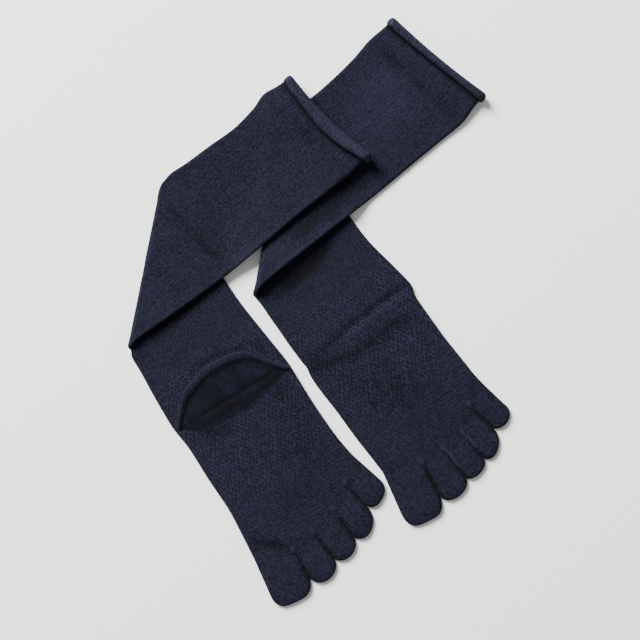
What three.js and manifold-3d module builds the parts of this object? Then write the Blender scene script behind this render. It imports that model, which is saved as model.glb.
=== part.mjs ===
// A pair of knee-length toe socks in fine navy knit, laid out flat.
//
// Each sock is a flattened tube: two knitted walls on each other with almost no air between
// them. It is folded once across the calf, so that the upper leg turns back over the lower
// leg, and its foot ends in five separate toes. The left sock lies instep up. The right sock
// lies sole up, with its heel pocket folded flat, and its upper leg crosses the left sock.
//
// A sock is worked out on its own flat pattern, in millimetres. `along` runs from the knee to
// the toes, `across` runs from one side edge to the other, and z is the height over the floor.
// The crease then folds the pattern over, and the drape lets the upper leg down on to whatever
// lies under it.

import * as THREE from "three";
import Module from "manifold-3d";

const wasm = await Module();
wasm.setup();

// Cloth
const WALL = 1.4; // thickness of one knitted wall
const SLIT = 0.6; // air between the two walls of a tube pressed flat
const TUBE = 2 * WALL + SLIT; // thickness of a tube pressed flat
const CLEAR = 0.4; // between a layer and the one that it lies on
const LAYER = TUBE + CLEAR; // what each layer adds to the height of the next
const NAVY = 0x25293c;

// The fold across the calf is half a round bend about a line at this height.
const BEND_HEIGHT = TUBE + CLEAR / 2;
const BEND_RADIUS = BEND_HEIGHT - TUBE / 2;
const HALF_BEND = (Math.PI * BEND_RADIUS) / 2; // cloth on each side of the crease that curves
const BEND_RINGS = 7;

// How far an upper leg takes to come down off an edge that it lies over
const DROP_OFF_OWN_LEG = 24;
const DROP_OFF_OTHER_SOCK = 32;

// The rolled edge of the cuff, a bead of cloth that curls outwards all round the mouth
const ROLL_SUNK = 0.8; // depth of the bead in the wall
const ROLL_AT_SIDES = 0.5; // share of its size at the two side edges
const ROLL_UNDER = 0.6; // share of its size where it is pressed under the leg
const ROLL_FROM = THREE.MathUtils.degToRad(-45); // turns from the mouth's lip
const ROLL_TO = THREE.MathUtils.degToRad(222); // to the groove behind the bead
const ROLL_RINGS = 9;
const LIP = { along: 0.9, out: -1 }; // edge of the mouth, inside the bead
const MOUTH_AIR = 1.6; // the slit at the mouth, held open by the bead
const MOUTH_RUN = 45; // length of leg over which the bead lifts it
const MOUTH_CUT = 4; // how far the slit runs out through the mouth

// Points round a ring: along each flat side, and round each side edge
const BODY_RING = { flat: 9, cap: 3 };
const BODY_SLIT_RING = { flat: 7, cap: 1 };
const TOE_RING = { flat: 5, cap: 3 };
const TOE_SLIT_RING = { flat: 4, cap: 1 };
const STEPS_PER_SECTION = 2;

// Toes
const TOE_SWELL = 1.18; // a toe's thickness at its widest, as a share of the tube's
const TOE_ROOT_SWELL = 0.9;
const TOE_TIP_SWELL = 0.85;
const TOE_SLIT_SHORT = 1.8; // cloth left in front of the slit at a toe's tip
const TIP_TURNS = [0, 25, 45, 62, 76].map((degrees) => THREE.MathUtils.degToRad(degrees));
const TIP_SQUARENESS = 0.7; // below 1 a toe's tip is blunter than half an ellipse

// Heel pocket
const HEEL_TOP = TUBE + 0.3; // height of the sole that the pocket lies on
const POCKET_RINGS = 13;
const POCKET_ENDS = 0.01; // share of its width left off at each pointed end
const POCKET_TIP_THICK = 0.3; // thickness at its ends, as a share of the rim's

// The whole pair, turned on the floor
const LAY_ANGLE = THREE.MathUtils.degToRad(-57);

const SECTION_COLUMNS = [
  "name",
  "leftAlong", // where the section meets the left edge, and how far across that is
  "left",
  "rightAlong", // the same at the right edge
  "right",
  "bow", // how far its middle runs ahead towards the toes
  "raise", // how far its upper wall is raised
];
const TOE_COLUMNS = ["name", "root", "rootLeft", "rootRight", "shoulder", "left", "right", "tip"];

const RIGHT_SOCK = {
  name: "right_sock",
  origin: { along: 0, across: 0 },
  crease: { left: { along: 48.6, across: -50.1 }, right: { along: -49.2, across: 45 } },
  rollRadius: { left: 3.4, right: 2.4 },
  ownEdge: 46, // side edge of the lower leg, which the upper leg comes down from
  leg: table(SECTION_COLUMNS, [
    ["cuff", -206.5, -36.5, -187, 52.4, 6.5, 0],
    ["welt", -191, -40.4, -171, 53.6, 5, 0],
    ["below the welt", -176, -42.2, -158, 54, 3, 0],
    ["narrowing", -152, -42.4, -144, 49.8, 1, 0],
    ["calf", -122, -43.4, -122, 46.2, 0, 0],
    ["full calf", -82, -47.4, -98, 45, 0, 0],
    ["lower calf", -38, -50.4, -76, 44.8, 0, 0],
    ["above the crease", 10, -50.3, -61, 44.9, 0, 0],
  ]),
  foot: table(SECTION_COLUMNS, [
    ["under the crease", 60, -52.6, -22, 45, 0, 0],
    ["shin", 74, -54.6, 24, 44.8, 0, 0],
    ["ankle", 92, -56, 64, 44.8, 0, 0],
    ["above the heel", 110, -57, 100, 48, 0, 0.1],
    ["heel", 126, -57.3, 130, 51, 0, 0.3],
    ["under the heel", 146, -54.6, 148, 50.8, 0, 0.3],
    ["arch", 176, -55, 174, 50.2, 0, 0.3],
    ["instep", 206, -55.4, 202, 51.4, 3, 0.3],
    ["ball", 232, -57.8, 221, 53.8, 11, 0.3],
    ["toe roots", 252, -60, 233, 56.8, 20, 0.1],
  ]),
  toes: table(TOE_COLUMNS, [
    ["big toe", 242, -57, -28.9, 283, -65, -30.6, 299.6],
    ["second toe", 248, -28.5, -7.3, 285, -30, -6.4, 297.4],
    ["middle toe", 248, -6.9, 16.9, 280, -5.9, 16.9, 292],
    ["fourth toe", 238, 17.3, 37.8, 271, 17.4, 40.2, 284.6],
    ["little toe", 224, 38.2, 54.6, 256, 39.5, 61.6, 267.2],
  ]),
  pocket: {
    left: { along: 126.3, across: -55.4 },
    right: { along: 134.5, across: 49.6 },
    rise: 33.6, // from the line between its ends to the middle of its rim
    riseShape: 0.85,
    bulge: 10.6, // from the same line towards the toes
    rim: 3, // thickness at its rim, two walls of cloth
    ledge: 6, // depth to which the rim lies free of the leg
  },
};

const LEFT_SOCK = {
  name: "left_sock",
  origin: { along: 12.7, across: 113 },
  crease: { left: { along: 50.6, across: -48.5 }, right: { along: -50.6, across: 45.6 } },
  rollRadius: { left: 2.8, right: 2.8 },
  ownEdge: 46.6,
  topEdgeSlope: -0.12, // way of its upper leg's far side edge, along over across
  leg: table(SECTION_COLUMNS, [
    ["cuff", -191.5, -38, -169.5, 56, 1.6, 0],
    ["welt", -178, -41, -156, 55.2, 1.4, 0],
    ["below the welt", -163, -45.4, -142, 54.4, 1, 0],
    ["narrowing", -140, -46.4, -124, 50.6, 0, 0],
    ["calf", -110, -47.6, -104, 47.9, 0, 0],
    ["full calf", -74, -49.3, -86, 46.4, 0, 0],
    ["lower calf", -36, -50.2, -72, 46, 0, 0],
    ["above the crease", 12, -49.6, -60, 45.8, 0, 0],
  ]),
  foot: table(SECTION_COLUMNS, [
    ["under the crease", 60, -53.2, -24, 45.6, 0, 0],
    ["shin", 74, -53.8, 22, 45.2, 0, 0],
    ["ankle", 92, -53.8, 66, 47, 0, 0],
    ["above the heel", 110, -53.2, 98, 53.4, 0, 0],
    ["valley at the heel", 121, -52, 112, 56.4, 0, -0.2],
    ["ridge at the heel", 127, -51.4, 119, 57.4, 0, 1.7],
    ["under the ridge", 135, -51.4, 128, 55.2, 0, 1.1],
    ["under the heel", 148, -51.4, 146, 55.8, 0, 0.4],
    ["arch", 174, -50.4, 170, 56.8, 0, 0.3],
    ["instep", 200, -49, 194, 59.2, 3, 0.3],
    ["ball", 220, -47.2, 209, 60.6, 10, 0.3],
    ["toe roots", 236, -45.8, 221, 62.8, 18, 0.1],
  ]),
  toes: table(TOE_COLUMNS, [
    ["big toe", 228, -44.8, -16.2, 274, -51.4, -17.6, 289.6],
    ["second toe", 236, -15.8, 6, 274, -16.8, 8.4, 285.8],
    ["middle toe", 236, 6.5, 28.4, 268, 8.8, 29.7, 280.2],
    ["fourth toe", 230, 28.8, 45.4, 261, 30.2, 49, 273.4],
    ["little toe", 211, 44.6, 59.6, 245, 47.6, 67.8, 256.8],
  ]),
};

// Rows of values with the columns named once
function table(columns, rows) {
  return rows.map((row) => Object.fromEntries(columns.map((name, i) => [name, row[i]])));
}

// 1 up to an edge, and smoothly down to 0 at `length` beyond it
function fall(distance, length) {
  return 1 - THREE.MathUtils.smoothstep(distance, 0, length);
}

// The larger of two heights, with a rounded change from one to the other
function roundedMax(a, b) {
  return Math.pow(a ** 4 + b ** 4, 1 / 4);
}

// Places round a flattened ring, in order: the share of the way across it, and the way that the
// cloth faces there.
function ringPlaces({ flat, cap }) {
  const places = [];
  for (const side of [-1, 1]) {
    for (let i = 0; i < flat; i++) {
      const share = i / (flat - 1);
      places.push({ share: side < 0 ? share : 1 - share, out: 0, up: side });
    }
    for (let i = 1; i <= cap; i++) {
      const turn = (Math.PI * i) / (cap + 1);
      places.push({
        share: side < 0 ? 1 : 0,
        out: -side * Math.sin(turn),
        up: side * Math.cos(turn),
      });
    }
  }
  return places;
}

// One place of a section's ring. `reach` is the ring's size from its middle line, sideways and
// upwards, and `shift` moves the place towards the toes.
function ringPoint(section, place, reach, shift = 0) {
  const leftEdge = new THREE.Vector2(section.leftAlong, section.left);
  const rightEdge = new THREE.Vector2(section.rightAlong, section.right);
  const way = rightEdge.clone().sub(leftEdge);
  const width = way.length();
  way.normalize();
  const across = section.half + place.share * (width - 2 * section.half) + place.out * reach.side;
  const bow = section.bow * 4 * place.share * (1 - place.share);
  return new THREE.Vector3(
    leftEdge.x + way.x * across + way.y * shift + bow,
    leftEdge.y + way.y * across - way.x * shift,
    section.centre + place.up * reach.up + Math.max(place.up, 0) * section.raise,
  );
}

function outerRing(section, places) {
  const reach = { side: section.half, up: section.half };
  return places.map((place) => ringPoint(section, place, reach));
}

function slitRing(section, places, shift = 0) {
  const reach = { side: SLIT / 2, up: section.air / 2 };
  return places.map((place) => ringPoint(section, place, reach, shift));
}

// A closed solid through rings of points, in the order from the cuff to the toes
function loft(rings) {
  const count = rings[0].length;
  const middles = [rings[0], rings.at(-1)].map((ring) =>
    ring.reduce((sum, point) => sum.add(point), new THREE.Vector3()).divideScalar(count),
  );
  const points = [...rings.flat(), ...middles];
  const [firstMiddle, lastMiddle] = [points.length - 2, points.length - 1];
  const lastRing = (rings.length - 1) * count;
  const triangles = [];
  for (let i = 0; i < count; i++) {
    const next = (i + 1) % count;
    triangles.push([firstMiddle, next, i], [lastMiddle, lastRing + i, lastRing + next]);
    for (let start = 0; start < lastRing; start += count) {
      triangles.push([start + i, start + next, start + count + next]);
      triangles.push([start + i, start + count + next, start + count + i]);
    }
  }
  return new wasm.Manifold(
    new wasm.Mesh({
      numProp: 3,
      vertProperties: new Float32Array(points.flatMap((point) => point.toArray())),
      triVerts: new Uint32Array(triangles.flat()),
    }),
  );
}

// The value at `share` of the way from b to c on a smooth curve through a, b, c and d
function throughFour(a, b, c, d, share) {
  const slopeB = (c - a) / 2;
  const slopeC = (d - b) / 2;
  const square = share * share;
  const cube = square * share;
  return (
    (2 * cube - 3 * square + 1) * b +
    (cube - 2 * square + share) * slopeB +
    (3 * square - 2 * cube) * c +
    (cube - square) * slopeC
  );
}

// Sections on a smooth run through the rows of a table
function smoothRun(rows) {
  const keys = SECTION_COLUMNS.slice(1);
  const sections = [];
  for (let i = 0; i + 1 < rows.length; i++) {
    const near = [rows[Math.max(i - 1, 0)], rows[i], rows[i + 1], rows[i + 2] ?? rows[i + 1]];
    for (let step = 0; step < STEPS_PER_SECTION; step++) {
      const share = step / STEPS_PER_SECTION;
      const values = keys.map((key) => [key, throughFour(...near.map((row) => row[key]), share)]);
      sections.push(Object.fromEntries(values));
    }
  }
  sections.push({ ...rows.at(-1) });
  return sections;
}

// Unit vector on the flat pattern that points across the crease, towards the cuff
function creaseNormal({ left, right }) {
  const way = new THREE.Vector2(right.along - left.along, right.across - left.across).normalize();
  return new THREE.Vector2(-way.y, way.x);
}

// The section that lies `beyond` the crease, on its cuff side
function creaseSection(crease, beyond) {
  const along = beyond / creaseNormal(crease).x;
  return {
    leftAlong: crease.left.along + along,
    left: crease.left.across,
    rightAlong: crease.right.along + along,
    right: crease.right.across,
    bow: 0,
    raise: 0,
  };
}

// All of a sock's sections from the cuff to the toe roots, with their thickness and height
function bodySections(sock) {
  const { crease, leg, foot } = sock;
  const bend = [];
  for (let i = 1; i < BEND_RINGS - 1; i++) {
    bend.push(creaseSection(crease, HALF_BEND * (1 - (2 * i) / (BEND_RINGS - 1))));
  }
  const sections = [
    ...smoothRun([...leg, creaseSection(crease, HALF_BEND)]),
    ...bend,
    ...smoothRun([creaseSection(crease, -HALF_BEND), ...foot]),
  ];
  const middle = (section) => (section.leftAlong + section.rightAlong) / 2;
  const lift = mouthLift(sock);
  for (const section of sections) {
    const near = fall(middle(section) - middle(sections[0]), MOUTH_RUN);
    section.air = SLIT + (MOUTH_AIR - SLIT) * near;
    section.half = WALL + section.air / 2;
    section.centre = TUBE / 2 - lift * near;
  }
  return sections;
}

// Height of the bead over the wall, for one radius of it
function rollHeight(radius) {
  return 2 * radius - ROLL_SUNK;
}

// How far the bead under the mouth holds the leg off what it lies on
function mouthLift({ rollRadius }) {
  const thickest = Math.max(rollRadius.left, rollRadius.right);
  return ROLL_UNDER * rollHeight(thickest) + (MOUTH_AIR - SLIT) / 2;
}

// Rings from the lip of the mouth round the bead to the groove behind it
function rollRings(sock, mouth, places) {
  const { rollRadius } = sock;
  const ring = (profile) =>
    places.map((place) => {
      const radius = THREE.MathUtils.lerp(rollRadius.left, rollRadius.right, place.share);
      const { along, out } = profile(radius);
      const grown = Math.max(out, 0);
      const sunk = Math.min(out, 0);
      const side = mouth.half + grown * ROLL_AT_SIDES + sunk;
      const up = mouth.half + grown * (place.up > 0 ? ROLL_UNDER : 1) + sunk;
      return ringPoint(mouth, place, { side, up }, along);
    });
  const rings = [ring(() => LIP)];
  for (let i = 0; i < ROLL_RINGS; i++) {
    const turn = THREE.MathUtils.lerp(ROLL_FROM, ROLL_TO, i / (ROLL_RINGS - 1));
    rings.push(
      ring((radius) => ({
        along: radius * (1 - Math.cos(turn)),
        out: radius * (1 + Math.sin(turn)) - ROLL_SUNK,
      })),
    );
  }
  return rings;
}

// A toe's sections: straight from its root to its widest, then rounded to the tip
function toeSections(toe, tip) {
  const rootMiddle = (toe.rootLeft + toe.rootRight) / 2;
  const middle = (toe.left + toe.right) / 2;
  const drift = (middle - rootMiddle) / (toe.shoulder - toe.root);
  const section = (along, left, right, swell) => ({
    leftAlong: along,
    left,
    rightAlong: along,
    right,
    bow: 0,
    raise: 0,
    air: SLIT,
    half: (TUBE / 2) * swell,
    centre: (TUBE / 2) * swell,
  });
  const sections = [section(toe.root, toe.rootLeft, toe.rootRight, TOE_ROOT_SWELL)];
  for (const turn of TIP_TURNS) {
    const along = THREE.MathUtils.lerp(toe.shoulder, tip, Math.sin(turn));
    const centre = middle + (drift * (along - toe.shoulder)) / 2;
    const halfWidth = ((toe.right - toe.left) / 2) * Math.cos(turn) ** TIP_SQUARENESS;
    const swell = THREE.MathUtils.lerp(TOE_TIP_SWELL, TOE_SWELL, Math.cos(turn));
    sections.push(section(along, centre - halfWidth, centre + halfWidth, swell));
  }
  return sections;
}

// The heel pocket pressed flat: a crescent that is thick at its rim, where it lies free of the
// leg, and runs out to nothing towards the toes
function pocketRings({ left, right, rise, riseShape, bulge, rim, ledge }) {
  const rings = [];
  for (let i = 0; i < POCKET_RINGS; i++) {
    const share = THREE.MathUtils.lerp(POCKET_ENDS, 1 - POCKET_ENDS, i / (POCKET_RINGS - 1));
    const arch = 1 - (2 * share - 1) ** 2;
    const across = THREE.MathUtils.lerp(left.across, right.across, share);
    const line = THREE.MathUtils.lerp(left.along, right.along, share);
    const start = line - rise * arch ** riseShape;
    const end = line + bulge * arch;
    const depth = end - start;
    const thick = rim * (POCKET_TIP_THICK + (1 - POCKET_TIP_THICK) * Math.sqrt(arch));
    const free = Math.min(ledge, depth / 3);
    const profile = [
      { along: start + thick * 0.4, up: CLEAR + thick },
      { along: start + depth * 0.4, up: CLEAR + thick * 0.8 },
      { along: start + depth * 0.75, up: CLEAR + thick * 0.35 },
      { along: end, up: -CLEAR / 2 },
      { along: end - thick / 2, up: -WALL / 2 },
      { along: start + free, up: -WALL / 2 },
      { along: start + free, up: CLEAR },
      { along: start + thick * 0.3, up: CLEAR },
      { along: start, up: CLEAR + thick * 0.35 },
      { along: start, up: CLEAR + thick * 0.7 },
    ];
    rings.push(profile.map(({ along, up }) => new THREE.Vector3(along, across, HEEL_TOP + up)));
  }
  return rings;
}

// Distance of a place on the floor from the crease, on its cuff side
function beyondCrease(crease, point) {
  const normal = creaseNormal(crease);
  return (point.x - crease.left.along) * normal.x + (point.y - crease.left.across) * normal.y;
}

// Folds a point of the flat pattern about the crease. `turned` grows from 0 to 1 over the bend.
function fold(crease, point) {
  const beyond = beyondCrease(crease, point);
  const turn = THREE.MathUtils.clamp((beyond + HALF_BEND) / BEND_RADIUS, 0, Math.PI);
  if (turn === 0) return { folded: point.clone(), turned: 0 };
  const reach = BEND_HEIGHT - point.z;
  const onCurve = -HALF_BEND + reach * Math.sin(turn);
  const moved = (turn < Math.PI ? onCurve : -beyond) - beyond;
  const normal = creaseNormal(crease);
  const folded = new THREE.Vector3(
    point.x + normal.x * moved,
    point.y + normal.y * moved,
    BEND_HEIGHT - reach * Math.cos(turn),
  );
  return { folded, turned: turn / Math.PI };
}

// Height at which the left sock's upper leg lies: on its own lower leg, then on the floor
function restOfLeft(point) {
  return LAYER * fall(point.y - LEFT_SOCK.ownEdge, DROP_OFF_OWN_LEG);
}

// Height at which the right sock's upper leg lies: on its own lower leg, and on the left sock
function restOfRight(point) {
  const own = LAYER * fall(point.y - RIGHT_SOCK.ownEdge, DROP_OFF_OWN_LEG);
  const there = point.clone();
  there.x -= LEFT_SOCK.origin.along;
  there.y -= LEFT_SOCK.origin.across;
  const { crease, topEdgeSlope } = LEFT_SOCK;
  const topEdge = crease.right.along + topEdgeSlope * (there.y - crease.right.across);
  const outside = Math.max(beyondCrease(crease, there), topEdge - there.x);
  const other = (restOfLeft(there) + LAYER) * fall(outside, DROP_OFF_OTHER_SOCK);
  return roundedMax(own, other);
}

// Folds a point of a sock's flat pattern and lets its upper leg down on to what is under it
function lay(sock, restHeight, point) {
  const { folded, turned } = fold(sock.crease, point);
  folded.z += turned * (restHeight(folded) - LAYER);
  folded.x += sock.origin.along;
  folded.y += sock.origin.across;
  return folded;
}

// One sock as one knitted wall, open at the cuff
function sockSolid(sock, restHeight) {
  const laid = (rings) => loft(rings.map((ring) => ring.map((p) => lay(sock, restHeight, p))));
  const sections = bodySections(sock);
  const mouth = sections[0];
  const places = ringPlaces(BODY_RING);
  const slitPlaces = ringPlaces(BODY_SLIT_RING);

  const wall = laid([
    ...rollRings(sock, mouth, places),
    ...sections.slice(1).map((section) => outerRing(section, places)),
  ]);
  const slit = laid([
    slitRing(mouth, slitPlaces, -MOUTH_CUT),
    ...sections.slice(0, -1).map((section) => slitRing(section, slitPlaces)),
    slitRing(sections.at(-1), slitPlaces, -WALL),
  ]);
  const toePlaces = ringPlaces(TOE_RING);
  const toeSlitPlaces = ringPlaces(TOE_SLIT_RING);
  const toes = sock.toes.map((toe) =>
    laid(toeSections(toe, toe.tip).map((section) => outerRing(section, toePlaces))),
  );
  const toeSlits = sock.toes.map((toe) =>
    laid(
      toeSections(toe, toe.tip - TOE_SLIT_SHORT).map((section) =>
        slitRing(section, toeSlitPlaces),
      ),
    ),
  );
  const pockets = sock.pocket ? [laid(pocketRings(sock.pocket))] : [];
  const outside = wasm.Manifold.union([wall, ...toes, ...pockets]);
  const inside = wasm.Manifold.union([slit, ...toeSlits]);
  return outside.subtract(inside);
}

function sockMesh(sock, restHeight) {
  const { vertProperties, triVerts } = sockSolid(sock, restHeight).getMesh();
  const geometry = new THREE.BufferGeometry();
  geometry.setAttribute("position", new THREE.BufferAttribute(vertProperties, 3));
  geometry.setIndex(new THREE.BufferAttribute(triVerts, 1));
  geometry.computeVertexNormals();
  const knit = new THREE.MeshStandardMaterial({ color: NAVY, roughness: 0.95, metalness: 0 });
  const mesh = new THREE.Mesh(geometry, knit);
  mesh.name = sock.name;
  return mesh;
}

// The pair, turned as it lies, with the middle of its box over the origin
const pair = new THREE.Group();
pair.name = "toe_socks";
pair.add(sockMesh(RIGHT_SOCK, restOfRight));
pair.add(sockMesh(LEFT_SOCK, restOfLeft));
pair.rotation.z = LAY_ANGLE;
pair.updateMatrixWorld(true);
const box = new THREE.Box3().setFromObject(pair, true);
const centre = box.getCenter(new THREE.Vector3());
pair.position.set(-centre.x, -centre.y, 0);

export default pair;
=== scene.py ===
"""Toe socks: dresses the CAD frame of a pair of navy toe socks, laid out flat.

Each sock is one sheet of knit. It is drawn on the sock's own flat pattern, in millimetres:
`along` runs from the knee to the toes, `across` from one side edge to the other, and the third
number is the height over the floor. The pattern is then folded over at its crease, let down on
to what lies under it, and turned as the pair lies.
"""

import math

import bpy
import numpy as np
from bpy.props import FloatProperty, FloatVectorProperty, PointerProperty
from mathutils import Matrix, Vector


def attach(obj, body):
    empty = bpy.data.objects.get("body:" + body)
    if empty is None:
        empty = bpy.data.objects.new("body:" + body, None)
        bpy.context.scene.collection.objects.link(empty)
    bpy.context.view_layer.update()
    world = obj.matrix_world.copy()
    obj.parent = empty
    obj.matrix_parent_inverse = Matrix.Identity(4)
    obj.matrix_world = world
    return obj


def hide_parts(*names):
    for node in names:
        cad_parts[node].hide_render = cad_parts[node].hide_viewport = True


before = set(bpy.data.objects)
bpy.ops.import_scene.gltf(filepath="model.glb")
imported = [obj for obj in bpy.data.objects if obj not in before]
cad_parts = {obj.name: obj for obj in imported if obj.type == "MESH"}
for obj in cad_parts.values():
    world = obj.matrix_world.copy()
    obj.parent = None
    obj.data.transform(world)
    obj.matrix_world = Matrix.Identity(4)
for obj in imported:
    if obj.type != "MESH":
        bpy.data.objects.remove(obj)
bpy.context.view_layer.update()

bl_info = {
    "name": "Toe Socks",
    "version": (1, 0, 0),
    "blender": (4, 5, 0),
    "location": "3D View > Sidebar > Toe Socks",
    "description": "Dresses a pair of knitted toe socks, laid out flat, over their CAD frame",
    "category": "Object",
}

MM = 0.001  # metres in a millimetre
BODY = "root"

# Cloth, in millimetres
WALL = 1.4  # thickness of one knitted wall
FLAT_WIDTH = 95  # of a leg pressed flat
SLIT = 0.6  # air between the two walls of a tube pressed flat
TUBE = 2 * WALL + SLIT
CLEAR = 0.4  # between a layer and the one that it lies on
LAYER = TUBE + CLEAR

# The fold across the calf is half a round bend about a line at this height
BEND_HEIGHT = TUBE + CLEAR / 2
BEND_RADIUS = BEND_HEIGHT - TUBE / 2
HALF_BEND = math.pi * BEND_RADIUS / 2
DROP_OFF_OWN_LEG = 24
DROP_OFF_OTHER_SOCK = 42
LOFT_RUN = 62  # the upper leg springs up near the fold, and comes down over this length
LOFT_RISE = (16, 50)  # and it rises towards its lower edge, between these places
# Where the right sock's upper leg crosses the left sock, its lower edge springs up
SPRING = 2.5
SPRING_EDGE = (49.3, -0.115)  # that edge's along where across is 0, and its slope
SPRING_RUN = 24
SPRING_RISE = (50, 150)
CORNER = (9.5, 6.7)  # the fold's right corner is rounded off over these lengths
SPREAD = (1.8, 5)  # and at its left corner the cloth spreads by the first, over the second

# Rolled edge of the cuff: the cloth curls outwards and round on to itself
ROLL_AT_SIDES = 0.5
ROLL_UNDER = 0.6
ROLL_STEPS = 15
ROLL_SHADE = (0.6, 2.4)  # painted shade where the roll meets the leg, and how far it reaches
ROLL_LUMPS = ((0.03, 9),)  # how uneven it is, as a share of its size, and over what length
ROLL_REACH = (90, 9)  # its length, and its way up, for those lumps
ROLL_TUCKED = 3  # rows of it tucked against the leg, which take that painted shade
ROLL_MARGIN = 1.06  # room for its lumps, as a share of its size
ROLL_CLEAR = 0.8  # between it and the leg's first row
MOUTH_AIR = 1.6
MOUTH_RUN = 45
MOUTH_FLAT = (6, 14)  # the leg's relief begins between these distances from the mouth

# Points round a ring of cloth, and distance between rings
FLAT_STEPS = 60
CAP_POINTS = 5
CROWD_AT_TOES = 0.5  # how far the points crowd towards the gaps between the toes
LEG_STEP = 2.0
FOOT_STEP = 1.6
HEEL_STEP = 0.9
TOE_STEP = 1.6

# Relief of the visible side. Lumps are (height, width).
LEG_LUMPS = ((0.17, 17), (0.09, 6))
TOE_LUMPS = ((0.2, 9), (0.09, 4))
EDGE_LINE = (0.3, 1.2, 1.8)  # height of the line along a side edge, its way in, and its width
WRINKLE_LUMPS = ((0.35, 7),)  # how uneven a wrinkle is, as a share of its height, and how long
WRINKLE_ENDS = (0.25, 2.5)  # its share at its very ends, and how many widths they run
# Where two toes part: name, place along from there, height, length, width, and painted shade (painted
# light below 0, as on the knot)
PARTING = [
    ("knot", -4, 1.4, 2.8, 1.4, -0.75),
    ("dip", 3, -0.5, 6, 2.4, 0.42),
]

# Toes
TOE_RUN = 34  # length over which the foot's rings turn forward to the gaps between the toes
TOE_SWELL = 1.12
TOE_TIP_SWELL = 0.95
TOE_CROWN = 0.7  # how much fuller the middle of a toe is than its edges
TOE_PARTING = 10  # length over which a toe turns from a slice of the foot into a round finger
TIP_TURNS = np.radians([12, 24, 36, 47, 57, 65, 72, 78, 82.5, 86.5])
WEB = 1.2  # how far the web between two toes bulges
TOE_SHADE = -0.02  # lightens the toes' colour a little overall
GAP_SHADE = 0.4  # painted shade where two toes press together
GAP_NARROWNESS = 16
# Painted shade on the web between two toes
WEB_SHADE = 0.3

# The pair, turned as it lies, with its box over the origin
LAY_ANGLE = math.radians(-57)
PAIR_PLACE = (-139.7298, 41.2816)

# Stitches: a plain rib of two wales on the leg, and a tuck mesh whose holes stand in rows
WALES_WIDTH = 96  # width of cloth, in the stitch map, between a sock's two side edges
RIB_PITCH = 3.36
WALE_PITCH = RIB_PITCH / 2
COURSE_PITCH = 1.3
HOLE_ROWS = 3.1  # from one row of holes to the next
MESH_IN = (84, 100)  # along the sock, where the tuck mesh comes in
MESH_OUT = (-16, -4)  # from the toe roots, where it goes out again
LADDERS_IN = (-60, -30)  # and where its rows close up into ladders
ZONE_LUMPS = ((5, 12),)  # how far these borders wander, and over what length

# How deep the knit's patterns are, from 0 to 1, and how much each lightens or darkens the yarn
STITCH_DEPTH = 0.35
RIB_DEPTH = 0.05
NET_DEPTH = 0.48
NET_TOP = 0.02
NET_UNEVEN = 0.35
HOLE_DEPTH = (0.85, 0.06)  # share that differs from hole to hole, and share of every hole
LADDER_DEPTH = (0.24, -0.06)
# Stitch height darkens the yarn down between the stitches and in the holes: painted shade
HEIGHT_TONE = 1.1
UNEVEN_TONE = 0.7
FIBRE_TONE = 1.0
CLOUD_TONE = 0.28
MEAN_TONE = -0.88
KNIT_RELIEF = 1.4
FIBRE_RELIEF = 1.2

# Columns of the section tables, and what is worked out for each section
LEFT_ALONG, LEFT, RIGHT_ALONG, RIGHT, BOW, RAISE, HALF, CENTRE = range(8)

RIGHT_SOCK = {
    "origin": (0, 0),
    "crease": ((48.6, -50.1), (-49.2, 45)),
    "roll_width": (8.2, 10.8, 11.0, 9.5, 8.4),
    "roll_height": (5.2, 6.2, 6.2, 5.5, 5.1),
    "roll_painted_light": (0.2, 0.19, 0.13, 0.06, 0),
    "own_edge": 46,
    "loft": 1.8,
    # name, left edge's along and across, right edge's along and across, bow, raise
    "leg": [
        ("cuff", -201.6, -34.8, -185, 54.8, 3.3, 0),
        ("welt", -188, -36.4, -171, 54.9, 3, 0),
        ("below the welt", -175, -38.6, -158, 56, 2, 0),
        ("narrowing", -152, -40.2, -144, 51.3, 1, 0),
        ("calf", -122, -42, -122, 47.4, 0, 0),
        ("full calf", -82, -46, -98, 47, 0, 0),
        ("lower calf", -38, -49.2, -76, 46.2, 0, 0),
        ("above the crease", 10, -50.3, -61, 46.3, 0, 0),
    ],
    "shin": [
        ("under the crease", 60, -53.6, -22, 45, 0, 0),
        ("shin", 74, -54.6, 24, 44.8, 0, 0),
        ("ankle", 92, -56, 64, 44.8, 0, 0),
    ],
    "heel": [
        ("above the heel", 110, -57, 100, 48, 0, 0.1),
        ("heel", 126, -57.3, 130, 51, 0, 0.3),
        ("under the heel", 146, -55.4, 148, 50.8, 0, 0.3),
    ],
    "foot": [
        ("arch", 176, -55.8, 174, 50.4, 0, 0.3),
        ("instep", 206, -55.4, 202, 51.4, 3, 0.3),
        ("ball", 232, -57.8, 221, 53.8, 11, 0.3),
        ("toe roots", 252, -60, 233, 56.8, 20, 0.1),
    ],
    # name, tip's along and across, and how pointed its outline is
    "toes": [
        ("big toe", 299.4, -50.3, 0.61),
        ("second toe", 298.5, -17.1, 1.05),
        ("middle toe", 292, 8.8, 1.1),
        ("fourth toe", 282.9, 34.6, 0.95),
        ("little toe", 267.2, 54.5, 0.8),
    ],
    # between two toes: along and across where they part, and where their tips start to round off
    "gaps": [
        (266, -28.7, 288.8, -30.1),
        (263, -7.1, 286.6, -4.6),
        (256, 17.1, 280.4, 18.1),
        (243.5, 36.8, 263.3, 40.3),
    ],
    "toe_sides": ((284, -65.1), (252, 62)),
}

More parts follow.
